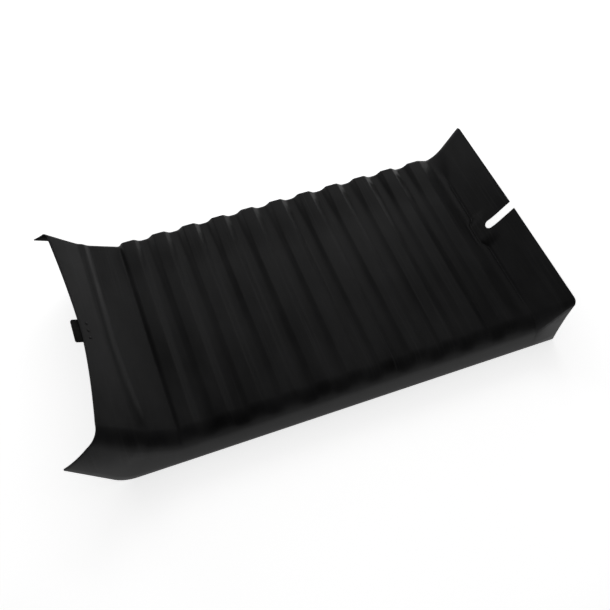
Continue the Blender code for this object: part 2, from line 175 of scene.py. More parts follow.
def rib_height(x):
    """Share of a rib's height at x from the first rib's middle."""
    number = min(max(round(x / RIB_PITCH), 0), RIB_COUNT - 1)
    run = x - number * RIB_PITCH
    edge, foot, root = RIB_REAR_EDGE, RIB_REAR_FOOT, RIB_ROOT
    if x < 0:
        foot, root = STRIP_FOOT, FOOT_SOFTNESS
    elif run > 0:
        edge, foot = RIB_FRONT_EDGE, LAST_RIB_FOOT if number == RIB_COUNT - 1 else RIB_FRONT_FOOT
    fall = hinge(abs(run) - edge, RIB_SHOULDER) - hinge(abs(run) - foot, root)
    return 1 - fall / (foot - edge)


def rounded(points, radii, steps=6):
    """The (x, z) points of a line with its inner corners rounded to these radii."""
    line = [points[0]]
    for before, corner, after, radius in zip(points, points[1:], points[2:], radii):
        back = (Vector(before) - Vector(corner)).normalized()
        on = (Vector(after) - Vector(corner)).normalized()
        half = back.angle(on) / 2
        reach = radius / math.tan(half)
        centre = Vector(corner) + (back + on).normalized() * (radius / math.sin(half))
        first = Vector(corner) + back * reach - centre
        last = Vector(corner) + on * reach - centre
        turn = first.angle(last)
        for step in range(steps + 1):
            share = step / steps
            first_part = math.sin((1 - share) * turn) / math.sin(turn)
            last_part = math.sin(share * turn) / math.sin(turn)
            line.append(tuple(centre + first * first_part + last * last_part))
    line.append(points[-1])
    return line


def point_along(line, share):
    """The point at this share of a line's length, as (x, z)."""
    lengths = [(Vector(after) - Vector(before)).length for before, after in zip(line, line[1:])]
    left = share * sum(lengths)
    for before, after, length in zip(line, line[1:], lengths):
        if left <= length:
            return tuple(Vector(before).lerp(Vector(after), left / length))
        left -= length
    return line[-1]


near_foot_line = rounded(
    [
        (ribs_start, foot_z),
        (ribs_start - NEAR_HEEL, foot_z),
        (ribs_start - NEAR_POINT, lip_z - NEAR_POINT_DROP),
    ],
    [NEAR_HEEL_RADIUS],
)
far_foot_line = rounded(
    [
        (ribs_start, foot_z),
        (ribs_start - FAR_HEEL, foot_z + FAR_HEEL_RISE),
        (ribs_start - FAR_LOBE, lip_z - FAR_LOBE_DROP),
        (ribs_start - FAR_POINT, lip_z - FAR_POINT_DROP),
    ],
    [FAR_HEEL_RADIUS, FAR_LOBE_RADIUS],
)


def skirt_foot(x, z, side):
    """Where the skirt that leaves the sheet at (x, z) ends, as (x, z)."""
    if x > crease_x:
        share = min(z / WALL_RISE, 1.0)
        return crease_x + (wall_top_x - WALL_SKIRT_SETBACK - crease_x) * share, foot_z
    if x >= ribs_start:
        return x, foot_z
    line = near_foot_line if side < 0 else far_foot_line
    return point_along(line, (ribs_start - x) / (ribs_start - lip_x))


def sheet_point(x, side, kind, share):
    """The top of the sheet at x, for a column that lies on the flat, the side fillet or the skirt.

    Side is -1 near and 1 far. Share runs outwards over that part of the width, from 0 to 1.
    """
    near_share = share if side < 0 and kind == "flat" else float(side < 0)
    far_share = share if side > 0 and kind == "flat" else float(side > 0)
    crisp = 1 - smooth((near_share - NEAR_CRISP_END) / (1 - NEAR_CRISP_END))

    # the front wall's height, then the strip, the ramp and the bead where they meet
    opening = smooth((far_share - FAR_CREASE_START) / (1 - FAR_CREASE_START))
    softness = CREASE_SOFTNESS + (FAR_CREASE_SOFTNESS - CREASE_SOFTNESS) * opening
    wall_z = math.tan(WALL_ANGLE) * hinge(x - crease_x, softness)
    fold_here = fold_x + NEAR_FOLD_SHIFT * near_share**NEAR_FOLD_CURVE
    ramp_here = (lip_z - strip_slope * (ribs_start - fold_here)) / (fold_here - lip_x)
    rear_z = strip_slope * hinge(ribs_start - x, FOOT_SOFTNESS)
    rear_z += (ramp_here - strip_slope) * hinge(fold_here - x, FOLD_SOFTNESS)
    rear_z += crisp * BEAD_HEIGHT * ridge(x - fold_here, BEAD_WIDTH)
    z = wall_z + rear_z
    wall_share = wall_z / WALL_RISE
    rear_share = max((ribs_start - x) / (ribs_start - lip_x), 0.0)
    ramp_share = max((fold_x - x) / RAMP_RUN, 0.0)

    # the width here, and the fillet between the flat and the skirt
    widening = NEAR_LIP_WIDENING if side < 0 else FAR_LIP_WIDENING
    half_width = HALF_WIDTH + WALL_WIDENING * wall_share + widening * ramp_share
    if side < 0:
        half_width += NEAR_BULGE * (1 - smooth(rear_share * 2)) * (1 - smooth(wall_share))
    foot_x, foot = skirt_foot(x, z, side)
    down = Vector((foot_x - x, 0.0, foot - z))
    depth = down.length
    down.normalize()
    lip_fillet = NEAR_LIP_FILLET if side < 0 else FAR_LIP_FILLET
    side_fillet = NEAR_FILLET if side < 0 else FAR_FILLET
    side_fillet += (WALL_TOP_FILLET - side_fillet) * smooth(wall_share)
    radius = min(side_fillet + (lip_fillet - side_fillet) * rear_share, depth * FILLET_LIMIT)
    flat = half_width - radius * math.sin(FILLET_TURN)

    # how far across and how far down the skirt's slope this column lies
    rib_share = 1.0
    if kind == "flat":
        across, drop = share * flat, 0.0
    else:
        turn = FILLET_TURN * (share if kind == "fillet" else 1.0)
        across = flat + radius * math.sin(turn)
        drop = radius * (1 - math.cos(turn))
        fade_start = NEAR_FADE_START if side < 0 else FAR_FADE_START
        rib_share = 1 - smooth((share - fade_start) / (1 - fade_start))
    if kind == "skirt":
        foot_across = HALF_WIDTH + SKIRT_FLARE + (REAR_FLARE - SKIRT_FLARE) * rear_share
        across += (foot_across - across) * (1 - (1 - share) ** 2)
        drop += (depth - drop) * share
        rib_share = 0.0
    point = Vector((x, side * across, z)) + down * drop

    # ribs, the groove along the crease, the bowed lip, the wall's spring-back and the boss round the slot
    side_height = RIB_NEAR_HEIGHT if side < 0 else RIB_FAR_HEIGHT
    gain = smooth((across / flat - RIB_RISE_START) / RIB_RISE_RUN)
    point.z += (RIB_MIDDLE_HEIGHT + (side_height - RIB_MIDDLE_HEIGHT) * gain) * rib_height(x) * rib_share
    groove = crisp * CREASE_GROOVE * (1 - smooth((far_share - GROOVE_FADE_START) / GROOVE_FADE_RUN))
    point.z -= groove * ridge(x - crease_x, CREASE_GROOVE_WIDTH)
    bow = LIP_BOW * ramp_share * (1 - min(across / flat, 1.0) ** LIP_BOW_CURVE)
    point += Vector((bow, 0.0, -bow * ramp_here))
    if side > 0:
        point.x -= FAR_WALL_LEAN * wall_share * min(across / flat, 1.0)
    if x > crease_x - BOSS_APPROACH:
        press = 1 - smooth((abs(side * across - SLOT_OFFSET) - BOSS_HALF_WIDTH) / BOSS_TAPER)
        rise = smooth((x - crease_x + BOSS_APPROACH) / (BOSS_APPROACH - CREASE_SOFTNESS))
        rise *= 1 - smooth(wall_share / BOSS_RISE)
        point.x -= BOSS_DEPTH * press * rise
    return point


RAMP_LINES = 14
STRIP_LINES = 10
WALL_LINES = 16
BEAD_LINE_GAP = BEAD_WIDTH / 4
CREASE_LINE_GAP = 0.006
GROOVE_LINE_GAP = 0.0015
LEAST_LINE_GAP = 0.0012
CORNER_LINES = (-1.2, -0.7, -0.25, 0.25, 0.7, 1.2)  # times half the length of a rounding
RIB_LINES = (-0.010, 0.0, 0.012, 0.024, 0.056, 0.094)  # from a rib's middle, on its top and past its foot


def sheet_stations():
    """Every x at which the sheet has a line of points, closer together on the folds."""
    found = [lip_x + (fold_x - lip_x) * step / RAMP_LINES for step in range(RAMP_LINES)]
    found += [fold_x + BEAD_LINE_GAP * step for step in range(-10, 21)]
    found += [fold_x + (ribs_start - fold_x) * step / STRIP_LINES for step in range(4, STRIP_LINES)]
    found += [ribs_start + FOOT_SOFTNESS * step / 2 for step in range(-3, 3)]
    for number in range(RIB_COUNT):
        middle = number * RIB_PITCH
        for edge, softness in ((RIB_REAR_EDGE, RIB_SHOULDER), (RIB_REAR_FOOT, RIB_ROOT)):
            found += [middle - edge - softness * step for step in CORNER_LINES]
        for edge, softness in ((RIB_FRONT_EDGE, RIB_SHOULDER), (RIB_FRONT_FOOT, RIB_ROOT)):
            found += [middle + edge + softness * step for step in CORNER_LINES]
        found += [middle + run for run in RIB_LINES]
    last_foot = crease_x - FLOOR_PAST_RIBS + LAST_RIB_FOOT
    found += [last_foot + RIB_ROOT * step for step in CORNER_LINES]
    found += [crease_x + CREASE_LINE_GAP * step for step in range(-9, 10)]
    found += [crease_x + GROOVE_LINE_GAP * step for step in range(-6, 7)]
    found += [crease_x + (wall_top_x - crease_x) * step / WALL_LINES for step in range(5, WALL_LINES)]
    kept = []
    for x in sorted(found):
        if not kept or x - kept[-1] > LEAST_LINE_GAP:
            kept.append(x)
    return kept + [wall_top_x]


FLOOR_LINES = 13  # each way from the middle
BOSS_LINES = 12  # each way from the slot's middle
BOSS_LINE_GAP = 0.0095
LEAST_SHARE_GAP = 0.02
FILLET_LINES = 14
SKIRT_LINES = 6


def sheet_columns():
    """(side, kind, share) of each line of points, from the near foot to the far one."""
    half_flat = HALF_WIDTH - NEAR_FILLET
    fine = [(SLOT_OFFSET + BOSS_LINE_GAP * step) / half_flat for step in range(-BOSS_LINES, BOSS_LINES + 1)]
    coarse = [step / FLOOR_LINES for step in range(-FLOOR_LINES, FLOOR_LINES + 1)]
    coarse = [share for share in coarse if min(abs(share - other) for other in fine) > LEAST_SHARE_GAP]
    flat = [(1 if share > 0 else -1, "flat", abs(share)) for share in sorted(fine + coarse)]
    edge = [("fillet", step / FILLET_LINES) for step in range(1, FILLET_LINES + 1)]
    edge += [("skirt", step / SKIRT_LINES) for step in range(1, SKIRT_LINES + 1)]
    near = [(-1, kind, share) for kind, share in reversed(edge)]
    return near + flat + [(1, kind, share) for kind, share in edge]


WAVES = ((0.0011, 2.1, 2.6, 3.7), (0.0004, 9.0, 3.0, 8.1))  # height, how dense along and across, layer
WAVE_EDGE_LINES = 8  # lines of points over which the waves start at the skirts' feet
WAVE_LIP_RUN = 0.25  # the same at the lip, in metres
CORNER_RADIUS = 0.007

stations, columns = sheet_stations(), sheet_columns()
last_along, last_across = len(stations) - 1, len(columns) - 1
sheet = bmesh.new()
bmesh.ops.create_grid(sheet, x_segments=last_along, y_segments=last_across, size=1.0)
corner_points = []
for point in sheet.verts:
    along = round((point.co.x + 1) / 2 * last_along)
    across = round((point.co.y + 1) / 2 * last_across)
    if along in (0, last_along) and across in (0, last_across):
        corner_points.append(point)
    side, kind, share = columns[across]
    place = sheet_point(stations[along], side, kind, share)
    place += Vector((first_rib_x, 0.0, floor_z))
    # cooling leaves the large faces a little wavy
    inside = min(min(across, last_across - across) / WAVE_EDGE_LINES, 1.0)
    inside *= smooth((stations[along] - lip_x) / WAVE_LIP_RUN)
    for wave, dense_along, dense_across, layer in WAVES:
        place.z += wave * inside * noise.noise(Vector((place.x * dense_along, place.y * dense_across, layer)))
    point.co = place
bmesh.ops.bevel(
    sheet, geom=corner_points, offset=CORNER_RADIUS, segments=5, profile=0.5, affect="VERTICES", material=-1
)
sheet_mesh = bpy.data.meshes.new("formed_liner")
sheet.to_mesh(sheet_mesh)
sheet.free()
liner = bpy.data.objects.new("formed_liner", sheet_mesh)
bpy.context.collection.objects.link(liner)

wall_thickness = liner.modifiers.new("wall_thickness", "SOLIDIFY")
wall_thickness.thickness = SHEET_THICKNESS
wall_thickness.offset = -1.0
wall_thickness.use_even_offset = True

SLOT_SEGMENTS = 48
EDGE_BREAK = 0.0011

slot_tool = bmesh.new()
half_slot = SLOT_WIDTH / 2
slot_centre = SLOT_ROOT + half_slot
slot_end = WALL_RISE / math.sin(WALL_ANGLE) + SLOT_WIDTH
bmesh.ops.create_circle(slot_tool, cap_ends=True, radius=half_slot, segments=SLOT_SEGMENTS)
for point in slot_tool.verts:
    point.co.x = slot_end if point.co.x > 1e-5 else point.co.x + slot_centre
grown = bmesh.ops.extrude_face_region(slot_tool, geom=list(slot_tool.faces))
raised = [item for item in grown["geom"] if isinstance(item, bmesh.types.BMVert)]
bmesh.ops.translate(slot_tool, verts=raised, vec=(0.0, 0.0, 2 * SLOT_WIDTH))
bmesh.ops.translate(slot_tool, verts=slot_tool.verts, vec=(0.0, 0.0, -SLOT_WIDTH))
bmesh.ops.remove_doubles(slot_tool, verts=slot_tool.verts, dist=1e-5)
bmesh.ops.recalc_face_normals(slot_tool, faces=slot_tool.faces)
wall_turn = Matrix.Rotation(-WALL_ANGLE, 4, "Y")
wall_root = Vector((first_rib_x + crease_x, SLOT_OFFSET, floor_z))
bmesh.ops.transform(slot_tool, verts=slot_tool.verts, matrix=Matrix.Translation(wall_root) @ wall_turn)
slot_mesh = bpy.data.meshes.new("slot_tool")
slot_tool.to_mesh(slot_mesh)
slot_tool.free()
slot_object = bpy.data.objects.new("slot_tool", slot_mesh)
bpy.context.collection.objects.link(slot_object)
slot_cut = liner.modifiers.new("wall_slot", "BOOLEAN")
slot_cut.operation = "DIFFERENCE"
slot_cut.solver = "EXACT"
slot_cut.object = slot_object
edge_break = liner.modifiers.new("edge_break", "BEVEL")
edge_break.width = EDGE_BREAK
edge_break.segments = 2
edge_break.limit_method = "ANGLE"
edge_break.angle_limit = math.radians(55)


def finish_mesh(piece):
    """Makes the result of a piece's modifiers its mesh."""
    graph = bpy.context.evaluated_depsgraph_get()
    made = bpy.data.meshes.new_from_object(piece.evaluated_get(graph))
    piece.modifiers.clear()
    piece.data = made


def shade(piece, sharp_angle, worn_angle):
    """Shades a piece smooth up to sharp_angle degrees and marks its edges for their finish.

    The point attribute "wear" is 0 on a flat face and 1 on an edge that turns by worn_angle or more.
    """
    piece.data.shade_smooth()
    piece.data.set_sharp_from_angle(angle=math.radians(sharp_angle))
    full_angle = math.radians(worn_angle)
    work = bmesh.new()
    work.from_mesh(piece.data)
    worn = [
        min(max((edge.calc_face_angle(0.0) for edge in point.link_edges), default=0.0) / full_angle, 1.0)
        for point in work.verts
    ]
    work.free()
    attribute = piece.data.attributes.new("wear", "FLOAT", "POINT")
    attribute.data.foreach_set("value", worn)


finish_mesh(liner)
bpy.data.objects.remove(slot_object)
shade(liner, 40, 50)


class Finish:
    """Short calls for building one material's nodes."""

    def __init__(self, name, colour, roughness, metallic=0.0, specular=0.5):
        self.made = bpy.data.materials.new(name)
        self.made.use_nodes = True
        self.tree = self.made.node_tree
        self.shader = self.tree.nodes["Principled BSDF"]
        self.shader.inputs["Base Color"].default_value = (*colour, 1.0)
        self.shader.inputs["Roughness"].default_value = roughness
        self.shader.inputs["Metallic"].default_value = metallic
        self.shader.inputs["Specular IOR Level"].default_value = specular
        self.place = self.tree.nodes.new("ShaderNodeTexCoord").outputs["Object"]

    def link(self, value, socket):
        if isinstance(value, bpy.types.NodeSocket):
            self.tree.links.new(value, socket)
        else:
            socket.default_value = value

    def node(self, kind, settings=(), **inputs):
        made = self.tree.nodes.new(kind)
        for name, value in dict(settings).items():
            setattr(made, name, value)
        for name, value in inputs.items():
            self.link(value, made.inputs[name.replace("_", " ")])
        return made

    def stretched(self, scale):
        mapping = self.node("ShaderNodeMapping", Vector=self.place)
        mapping.inputs["Scale"].default_value = scale
        return mapping.outputs["Vector"]

    def grain(self, scale, detail=3.0, rough=0.5, stretch=(1.0, 1.0, 1.0)):
        """Noise on the piece's own coordinates, finer along an axis that stretch scales up."""
        made = self.node(
            "ShaderNodeTexNoise", Vector=self.stretched(stretch), Scale=scale, Detail=detail, Roughness=rough
        )
        return made.outputs["Fac"]

    def spread(self, value, low, high, start=0.35, end=0.65):
        """The value from start to end, as one from low to high."""
        made = self.node("ShaderNodeMapRange", {"clamp": True}, Value=value)
        made.inputs["From Min"].default_value = start
        made.inputs["From Max"].default_value = end
        made.inputs["To Min"].default_value = low
        made.inputs["To Max"].default_value = high
        return made.outputs["Result"]

    def blend(self, share, first, second):
        made = self.tree.nodes.new("ShaderNodeMix")
        made.data_type = "RGBA"
        self.link(share, made.inputs["Factor"])
        for value, socket in ((first, made.inputs["A"]), (second, made.inputs["B"])):
            self.link(value if isinstance(value, bpy.types.NodeSocket) else (*value, 1.0), socket)
        return made.outputs["Result"]

    def sum(self, first, second, operation="ADD"):
        """Two values added, or multiplied where the operation says so."""
        made = self.node("ShaderNodeMath", {"operation": operation})
        self.link(first, made.inputs[0])
        self.link(second, made.inputs[1])
        return made.outputs["Value"]

    def bump(self, height, distance, under=None, strength=0.5):
        made = self.node("ShaderNodeBump", Height=height, Distance=distance, Strength=strength)
        if under is not None:
            self.link(under, made.inputs["Normal"])
        return made.outputs["Normal"]

    def attribute(self, name):
        return self.node("ShaderNodeAttribute", {"attribute_name": name}).outputs["Fac"]


BLACK_SHEET = (0.012, 0.012, 0.0125)
DARK_PATCH = (0.0062, 0.0062, 0.0065)
PALE_PATCH = (0.0160, 0.0160, 0.0165)
STREAK = (0.028, 0.028, 0.029)
WORN_SHEET = (0.045, 0.045, 0.047)
FLOOR_BAND = (floor_z - 0.035, floor_z - 0.005)  # the heights over which the floor's streaks set in
DRAW_RELIEF = 0.0006
FINE_RELIEF = 0.0002
PEBBLE_RELIEF = 0.00012

sheet_finish = Finish("black_polyethylene", BLACK_SHEET, 0.40, specular=0.10)
draw_lines = sheet_finish.grain(1.0, detail=4.0, rough=0.6, stretch=(95.0, 1.1, 0.4))
fine_lines = sheet_finish.grain(1.0, detail=3.0, rough=0.6, stretch=(260.0, 2.4, 1.0))
patches = sheet_finish.grain(4.2, detail=3.0, stretch=(1.5, 0.6, 1.0))
pebble = sheet_finish.grain(620.0, detail=2.0)
height = sheet_finish.node("ShaderNodeSeparateXYZ", Vector=sheet_finish.place).outputs["Z"]
on_floor = sheet_finish.spread(height, 0.0, 1.0, *FLOOR_BAND)
scuffed = sheet_finish.spread(sheet_finish.grain(1.9, detail=2.0), 0.25, 1.0, 0.46, 0.60)
scuffed = sheet_finish.sum(scuffed, on_floor, "MULTIPLY")
scuffed_lines = sheet_finish.sum(draw_lines, scuffed, "MULTIPLY")
worn_edge = sheet_finish.sum(sheet_finish.attribute("wear"), sheet_finish.grain(55.0), "MULTIPLY")
worn_edge = sheet_finish.spread(worn_edge, 0.0, 1.0, 0.15, 0.5)
plain = sheet_finish.blend(sheet_finish.spread(patches, 0.0, 1.0), DARK_PATCH, PALE_PATCH)
streaks = sheet_finish.sum(sheet_finish.spread(draw_lines, 0.0, 0.6, 0.54, 0.76), scuffed, "MULTIPLY")
streaked = sheet_finish.blend(streaks, plain, STREAK)
sheet_finish.link(
    sheet_finish.blend(worn_edge, streaked, WORN_SHEET), sheet_finish.shader.inputs["Base Color"]
)
gloss = sheet_finish.sum(
    sheet_finish.spread(scuffed_lines, 0.36, 0.46, 0.3, 0.7), sheet_finish.spread(patches, -0.03, 0.05)
)
worn_gloss = sheet_finish.spread(worn_edge, 0.0, 0.1, 0.0, 1.0)
sheet_finish.link(sheet_finish.sum(gloss, worn_gloss), sheet_finish.shader.inputs["Roughness"])
relief = sheet_finish.bump(scuffed_lines, DRAW_RELIEF)
relief = sheet_finish.bump(sheet_finish.sum(fine_lines, scuffed, "MULTIPLY"), FINE_RELIEF, relief)
relief = sheet_finish.bump(pebble, PEBBLE_RELIEF, relief)
sheet_finish.link(relief, sheet_finish.shader.inputs["Normal"])
liner.data.materials.clear()
liner.data.materials.append(sheet_finish.made)

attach(liner, "root")
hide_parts("liner_panel")


# ---------------------------------------------------------------- rear tab
# A tongue of black rubber, cut from sheet with its two free corners rounded. It lies against the
# underside of the ramp and bends down a little where it leaves the lip.

TAB_OFFSET = 0.022
TAB_SHARE = 0.04  # the same as a share of the floor's half width
TAB_WIDTH = 0.127
TAB_THICKNESS = 0.008
TAB_GRIP = 0.062  # its length under the ramp
TAB_REACH = 0.034  # its length past the lip
TAB_BEND = math.atan(ramp_slope) - math.radians(24)
TAB_BEND_RUN = 0.006  # half the length over which it bends
TAB_BEND_PARTS = 3  # bends are cut this many times each way
TAB_CORNER = 0.010
TAB_EDGE = 0.0011
SHARP_EDGE = math.radians(40)  # an edge that turns by more gets a bevel
SEAT_GAP = 0.0003  # between pieces that lie on each other
RIVET_SPACING = 0.042
RIVET_RADIUS = 0.0024
RIVET_PLACE = -0.039  # down the ramp from the lip
HOLE_SEGMENTS = 32

lip_point = sheet_point(lip_x, 1, "flat", TAB_SHARE) + Vector((first_rib_x, 0.0, floor_z))
lip_point.y = TAB_OFFSET
ramp_turn = Matrix.Translation(lip_point) @ Matrix.Rotation(math.atan(ramp_slope), 4, "Y")
ramp_turn @= Matrix.Diagonal((-1, -1, 1, 1))


def on_ramp(form):
    """Moves a piece that was made with X up the ramp and past the lip, which lies at 0, to its place."""
    bmesh.ops.transform(form, verts=form.verts, matrix=ramp_turn)


def add_piece(name, form):
    """An object of this name, made of the form."""
    mesh = bpy.data.meshes.new(name)
    form.to_mesh(mesh)
    form.free()
    piece = bpy.data.objects.new(name, mesh)
    bpy.context.collection.objects.link(piece)
    return piece


def drill(form, depth):
    """Cuts the three rivet holes through a plate whose top is at z = 0."""
    plate = add_piece("undrilled", form)
    tools = bmesh.new()
    radius = RIVET_RADIUS + SEAT_GAP
    for number in (-1, 0, 1):
        place = Matrix.Translation((RIVET_PLACE, number * RIVET_SPACING, -depth / 2))
        bmesh.ops.create_cone(
            tools, cap_ends=True, segments=HOLE_SEGMENTS, radius1=radius, radius2=radius, depth=depth * 3,
            matrix=place,
        )
    tool = add_piece("hole_tools", tools)
    holes = plate.modifiers.new("holes", "BOOLEAN")
    holes.operation = "DIFFERENCE"
    holes.solver = "EXACT"
    holes.object = tool
    finish_mesh(plate)
    drilled = bmesh.new()
    drilled.from_mesh(plate.data)
    bpy.data.objects.remove(plate)
    bpy.data.objects.remove(tool)
    return drilled


def soften(form, width, segments):
    """Bevels every sharp edge."""
    sharp = [edge for edge in form.edges if edge.is_manifold and edge.calc_face_angle() > SHARP_EDGE]
    bmesh.ops.bevel(
        form, geom=sharp, offset=width, segments=segments, profile=0.5, affect="EDGES", material=-1,
        clamp_overlap=True,
    )


def slab(low_x, high_x, width, thickness, corner, only_outer=False):
    """A plate whose top is at z = 0, with all its corners rounded or only those at high_x."""
    form = bmesh.new()
    bmesh.ops.create_cube(form, size=1.0)
    bmesh.ops.scale(form, verts=form.verts, vec=(high_x - low_x, width, thickness))
    bmesh.ops.translate(form, verts=form.verts, vec=((low_x + high_x) / 2, 0.0, -thickness / 2))
    upright = [edge for edge in form.edges if abs(edge.verts[0].co.z - edge.verts[1].co.z) > thickness / 2]
    if only_outer:
        upright = [edge for edge in upright if edge.verts[0].co.x > (low_x + high_x) / 2]
    bmesh.ops.bevel(form, geom=upright, offset=corner, segments=8, profile=0.5, affect="EDGES", material=-1)
    return form


tab_form = drill(
    slab(-TAB_GRIP, TAB_REACH, TAB_WIDTH, TAB_THICKNESS, TAB_CORNER, only_outer=True), TAB_THICKNESS
)
soften(tab_form, TAB_EDGE, segments=3)
for step in range(-TAB_BEND_PARTS, TAB_BEND_PARTS + 1):
    bmesh.ops.bisect_plane(
        tab_form, geom=tab_form.verts[:] + tab_form.edges[:] + tab_form.faces[:],
        plane_co=(TAB_BEND_RUN * step / TAB_BEND_PARTS, 0.0, 0.0), plane_no=(1.0, 0.0, 0.0), dist=1e-6,
    )
for point in tab_form.verts:
    lean = TAB_BEND * min(max((point.co.x + TAB_BEND_RUN) / (2 * TAB_BEND_RUN), 0.0), 1.0)
    fall = math.tan(TAB_BEND) * hinge(point.co.x, TAB_BEND_RUN)
    past = max(point.co.x, 0.0)
    point.co.x += point.co.z * math.sin(lean) - past * (1 - math.cos(TAB_BEND))
    point.co.z = point.co.z * math.cos(lean) - fall * math.cos(TAB_BEND)
bmesh.ops.translate(tab_form, verts=tab_form.verts, vec=(0.0, 0.0, -SHEET_THICKNESS - SEAT_GAP))
on_ramp(tab_form)
tab = add_piece("rubber_tab", tab_form)
shade(tab, 35, 40)

BLACK_RUBBER = (0.005, 0.005, 0.005)
DARK_RUBBER = (0.0030, 0.0030, 0.0030)
BLOOMED_RUBBER = (0.0070, 0.0068, 0.0066)
RUBBED_RUBBER = (0.020, 0.020, 0.020)
CALENDER_RELIEF = 0.0002
RUBBER_RELIEF = 0.0001

rubber_finish = Finish("black_rubber", BLACK_RUBBER, 0.75, specular=0.12)
bloom = rubber_finish.grain(38.0, detail=5.0, rough=0.6)
calender = rubber_finish.grain(1.0, detail=2.0, stretch=(900.0, 90.0, 900.0))
rub = rubber_finish.sum(rubber_finish.attribute("wear"), rubber_finish.grain(160.0), "MULTIPLY")
dusty = rubber_finish.blend(rubber_finish.spread(bloom, 0.0, 1.0), DARK_RUBBER, BLOOMED_RUBBER)
rubber_finish.link(
    rubber_finish.blend(rubber_finish.spread(rub, 0.0, 1.0, 0.2, 0.6), dusty, RUBBED_RUBBER),
    rubber_finish.shader.inputs["Base Color"],
)
rubber_finish.link(rubber_finish.spread(bloom, 0.62, 0.85), rubber_finish.shader.inputs["Roughness"])
rubber_grain = rubber_finish.bump(calender, CALENDER_RELIEF, strength=0.6)
rubber_grain = rubber_finish.bump(rubber_finish.grain(900.0), RUBBER_RELIEF, rubber_grain)
rubber_finish.link(rubber_grain, rubber_finish.shader.inputs["Normal"])
tab.data.materials.append(rubber_finish.made)
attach(tab, "root")
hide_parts("rear_tab")


# ---------------------------------------------------------------- backing plate
# A strip of zinc-plated steel that spreads the rivets' grip under the rubber. It is sheared and punched,
# so its edges are slightly broken and its faces carry rolling lines along its length.

PLATE_WIDTH = 0.112
PLATE_DEPTH = 0.030
PLATE_THICKNESS = 0.003
PLATE_CORNER = 0.006
PLATE_EDGE = 0.0004

plate_low, plate_high = RIVET_PLACE - PLATE_DEPTH / 2, RIVET_PLACE + PLATE_DEPTH / 2
plate_form = drill(
    slab(plate_low, plate_high, PLATE_WIDTH, PLATE_THICKNESS, PLATE_CORNER), PLATE_THICKNESS
)
soften(plate_form, PLATE_EDGE, segments=2)
plate_top = -SHEET_THICKNESS - TAB_THICKNESS - 2 * SEAT_GAP
bmesh.ops.translate(plate_form, verts=plate_form.verts, vec=(0.0, 0.0, plate_top))
on_ramp(plate_form)
plate = add_piece("backing_plate", plate_form)
shade(plate, 35, 40)

ZINC = (0.42, 0.43, 0.44)
DARK_SPANGLE = (0.36, 0.37, 0.385)
PALE_SPANGLE = (0.47, 0.475, 0.48)
TARNISH = (0.24, 0.225, 0.20)
BARE_EDGE = (0.60, 0.60, 0.60)
ROLLING_RELIEF = 0.00008

zinc_finish = Finish("zinc_plated_steel", ZINC, 0.38, metallic=1.0)
rolling = zinc_finish.grain(1.0, detail=4.0, rough=0.6, stretch=(1400.0, 18.0, 1400.0))
spangle = zinc_finish.grain(120.0, detail=2.0)
tarnish = zinc_finish.grain(30.0, detail=5.0, rough=0.65)
clean = zinc_finish.blend(zinc_finish.spread(spangle, 0.0, 1.0), DARK_SPANGLE, PALE_SPANGLE)
tarnished = zinc_finish.blend(zinc_finish.spread(tarnish, 0.0, 0.7, 0.5, 0.75), clean, TARNISH)
bright_edge = zinc_finish.sum(zinc_finish.attribute("wear"), zinc_finish.grain(200.0), "MULTIPLY")
zinc_finish.link(
    zinc_finish.blend(zinc_finish.spread(bright_edge, 0.0, 1.0, 0.3, 0.6), tarnished, BARE_EDGE),
    zinc_finish.shader.inputs["Base Color"],
)
zinc_finish.link(zinc_finish.spread(tarnish, 0.30, 0.52), zinc_finish.shader.inputs["Roughness"])
zinc_finish.link(zinc_finish.bump(rolling, ROLLING_RELIEF), zinc_finish.shader.inputs["Normal"])
plate.data.materials.append(zinc_finish.made)
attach(plate, "root")
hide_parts("tab_backing_plate")


# ---------------------------------------------------------------- rivets
# Three blackened rivets that hold the sheet, the tab and the plate together: a low dome on the ramp, a
# shank through the three holes and a tail that is clinched over the plate.

HEAD_RADIUS = 0.0075
HEAD_HEIGHT = 0.0022
HEAD_RIM = 0.0004
HEAD_LINES = 10
TAIL_RADIUS = 0.0055
TAIL_HEIGHT = 0.0030
TAIL_RIM = 0.0005
TAIL_CURL = ((0.96, 0.55), (0.80, 0.85), (0.55, 1.0), (0.30, 0.90), (0.0, 0.86))  # shares of both
SPIN_STEPS = 48

BLACK_OXIDE = (0.010, 0.010, 0.0105)
BROWN_OXIDE = (0.020, 0.0195, 0.0195)
RUBBED_OXIDE = (0.05, 0.049, 0.047)
OXIDE_RELIEF = 0.00005

rivet_finish = Finish("blackened_rivet", BLACK_OXIDE, 0.50, metallic=0.6, specular=0.3)
oxide = rivet_finish.grain(220.0, detail=4.0)
rubbed = rivet_finish.sum(rivet_finish.attribute("wear"), rivet_finish.grain(600.0), "MULTIPLY")
coated = rivet_finish.blend(rivet_finish.spread(oxide, 0.0, 1.0), BLACK_OXIDE, BROWN_OXIDE)
rivet_finish.link(
    rivet_finish.blend(rivet_finish.spread(rubbed, 0.0, 0.8, 0.35, 0.65), coated, RUBBED_OXIDE),
    rivet_finish.shader.inputs["Base Color"],
)
rivet_finish.link(rivet_finish.spread(oxide, 0.45, 0.65), rivet_finish.shader.inputs["Roughness"])
rivet_finish.link(rivet_finish.bump(oxide, OXIDE_RELIEF), rivet_finish.shader.inputs["Normal"])

